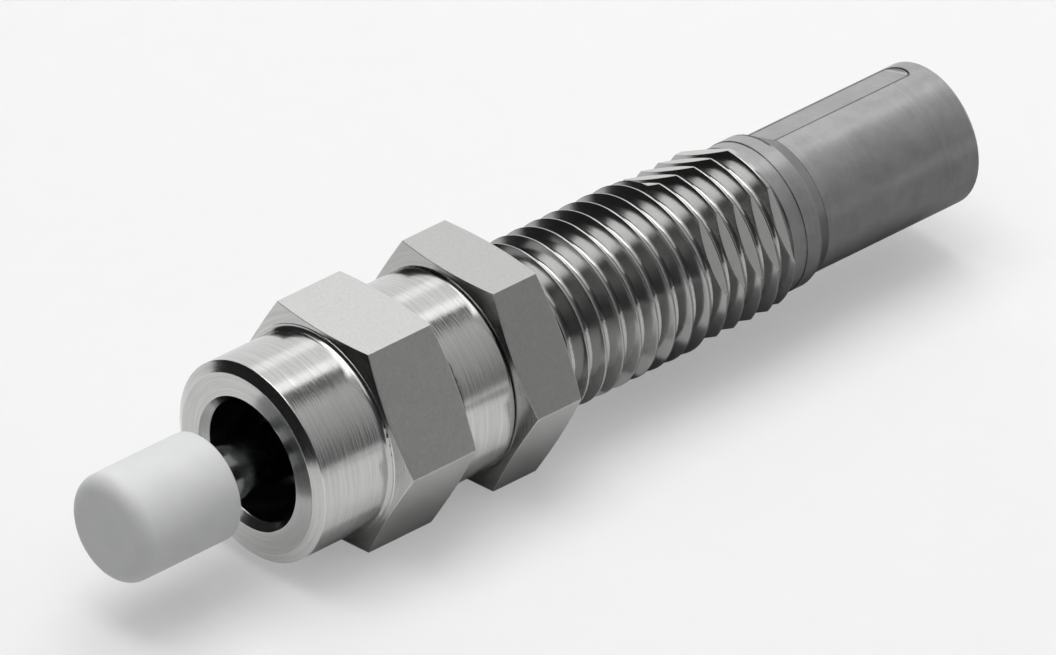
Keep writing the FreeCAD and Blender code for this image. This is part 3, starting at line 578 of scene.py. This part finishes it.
# %% [markdown]
# ## Studio
#
# Bright metal has no look of its own: it shows what stands round it. The room here is a plain white
# tent, so the world is white from every side. On its own that would leave the metal flat, so cards
# stand round the part, as a photographer puts them. Black ones past the nose draw the dark lines on
# the chamfers and in the thread, dim ones stand on the side of the camera, and pale grey ones to the
# right light the side flats of the hexagons. A dark bar over them makes the dark band beside the
# bright line. The metal sees the cards and the camera doesn't. What counts is the direction in which
# the part sees each edge, so a card is given by the directions of its corners. The low strip close
# to the nose keeps the lower end of the chamfer's dark line from the paper.

# %% White tent
world = bpy.data.worlds.new("white_tent")
bpy.context.scene.world = world
world.use_nodes = True
world.node_tree.nodes["Background"].inputs["Color"].default_value = (1, 1, 1, 1)
world.node_tree.nodes["Background"].inputs["Strength"].default_value = 1.0
print("tent is white")

# %% Cards round the part
CARD_DISTANCE = 0.32
CARD_TOP_MM = 240


def direction(azimuth, elevation):
    turn, rise = math.radians(azimuth), math.radians(elevation)
    return Vector((math.cos(turn) * math.cos(rise), math.sin(turn) * math.cos(rise), math.sin(rise)))


def card(name, first, last, foot, head, grey_foot, grey_head, distance=CARD_DISTANCE):
    """A card from one azimuth to another. Foot and head are pairs of elevations, one for each side."""
    bpy.ops.object.select_all(action="DESELECT")
    bpy.ops.mesh.primitive_plane_add(size=1)
    piece = bpy.context.active_object
    piece.name = name
    corners = [(first, foot[0]), (last, foot[1]), (first, head[0]), (last, head[1])]
    for vertex, (azimuth, elevation) in zip(piece.data.vertices, corners):
        vertex.co = direction(azimuth, elevation) * distance
    paint = Finish(name + "_paint", 0.0, Roughness=0.9, Specular_IOR_Level=0.0)
    rise = paint.spread(paint.up, 0, CARD_TOP_MM, smooth=True)
    grey = paint.blend(rise, (grey_foot,) * 3 + (1,), (grey_head,) * 3 + (1,))
    paint.set("Base Color", grey)
    piece.data.materials.append(paint.material)
    piece.visible_camera = False
    return piece


card("black_1", 67, 112, (-1, -1), (55, 55), 0.045, 0.045)
card("black_2", 112, 156, (-1, -1), (55, 50), 0.045, 0.045)
card("black_3", 156, 200, (-1, -1), (50, 45), 0.045, 0.045)
card("dim_1", 200, 243, (-1, -1), (45, 42), 0.06, 0.10)
card("dim_2", 243, 284, (-1, -1), (42, 50), 0.14, 0.12)
card("dim_3", 284, 304, (-1, -1), (50, 58), 0.18, 0.14)
card("grey", 304, 350, (-1, -1), (46, 52), 0.95, 0.98)
card("grey_side", 295, 304, (-1, -1), (31, 31), 0.90, 0.90, distance=0.315)
card("dark_bar", 300, 363, (47, 50), (62, 60), 0.04, 0.04)
card("dark_corner", 298, 315, (37, 43), (53, 53), 0.05, 0.05, distance=0.31)
strip = card("black_strip", 160, 205, (-5.5, -5.5), (3, 3), 0.02, 0.02, distance=0.05)
strip.visible_diffuse = False
strip.visible_shadow = False
print("eleven cards up")

# %% [markdown]
# ## Grey cards on the table
#
# From the thread and the barrel the nearest white thing is the paper right under the camera's view.
# It would fill the lower half of every groove with light. A grey card lies there for the metal alone:
# it casts no shadow, and neither the camera nor the paper sees it. Its left edge slants, so that the
# neck of the sleeve still mirrors white paper. A small card under the two hexagons does the same for
# their lowest faces.

# %% Lay the grey cards
CARD_THICKNESS = 0.00005


def floor_card(name, corners, grey):
    """A card on the table that only metal mirrors. Corners are along and side, in millimetres."""
    bpy.ops.object.select_all(action="DESELECT")
    bpy.ops.mesh.primitive_plane_add(size=1)
    piece = bpy.context.active_object
    piece.name = name
    for vertex, (along, side) in zip(piece.data.vertices, corners):
        vertex.co = (along / 1000, side / 1000, table_height + CARD_THICKNESS)
    paint = Finish(name + "_paint", 0.0, Roughness=0.9, Specular_IOR_Level=0.0)
    fleck = paint.noise(paint.place, 0.4, detail=3.0)
    paint.set("Base Color", paint.blend(fleck, (grey * 0.95,) * 3 + (1,), (grey * 1.05,) * 3 + (1,)))
    piece.data.materials.append(paint.material)
    piece.visible_camera = False
    piece.visible_diffuse = False
    piece.visible_shadow = False


floor_card("thread_floor", [(38, -62), (66, -62), (18, 3), (66, 3)], 0.36)
floor_card("hexagon_floor", [(2, -5), (17.5, -5), (2, 6), (17.5, 6)], 0.85)
print("two grey cards laid")

# %% [markdown]
# ## Lamps
#
# A big soft lamp hangs straight above and does most of the lighting: it is what makes the top of the
# nose bright and its sides grey, and no metal face mirrors it into the camera. The others are there
# for the metal. One shines into the grooves of the thread, where its light bounces off two flanks
# before it reaches the eye, one draws the bright line along the round parts, next to the edge of the
# dark bar, and a weak one behind lifts the top flats of the hexagons.

# %% Lamps
LAMP_HEIGHT = 0.34


def soft_lamp(name, along, back, length, width, glow):
    """A flat lamp at lamp height, sized in shares of that height, with its brightness per area."""
    data = bpy.data.lights.new(name, "AREA")
    data.shape = "RECTANGLE"
    data.size = length * LAMP_HEIGHT
    data.size_y = width * LAMP_HEIGHT
    data.energy = glow * math.pi * data.size * data.size_y
    lamp = bpy.data.objects.new(name, data)
    bpy.context.scene.collection.objects.link(lamp)
    lamp.location = (along * LAMP_HEIGHT, back * LAMP_HEIGHT, LAMP_HEIGHT)
    lamp.visible_camera = False
    print(name, round(data.energy, 3), "W")


soft_lamp("top_lamp", -0.15, 0.12, 0.44, 0.80, 2.8)
soft_lamp("thread_lamp", 0.37, 0.23, 0.36, 0.84, 2.2)
soft_lamp("line_lamp", 0.75, 0.14, 0.40, 0.25, 0.65)
soft_lamp("back_lamp", 0.95, 1.05, 0.70, 0.50, 0.45)

# %% [markdown]
# ## Colours as they are
#
# The Standard view transform shows a colour as it is written, with no film curve over it, so the
# white of the nose can be compared with the white of the paper.

# %% Finish the scene
bpy.context.scene.view_settings.view_transform = "Standard"
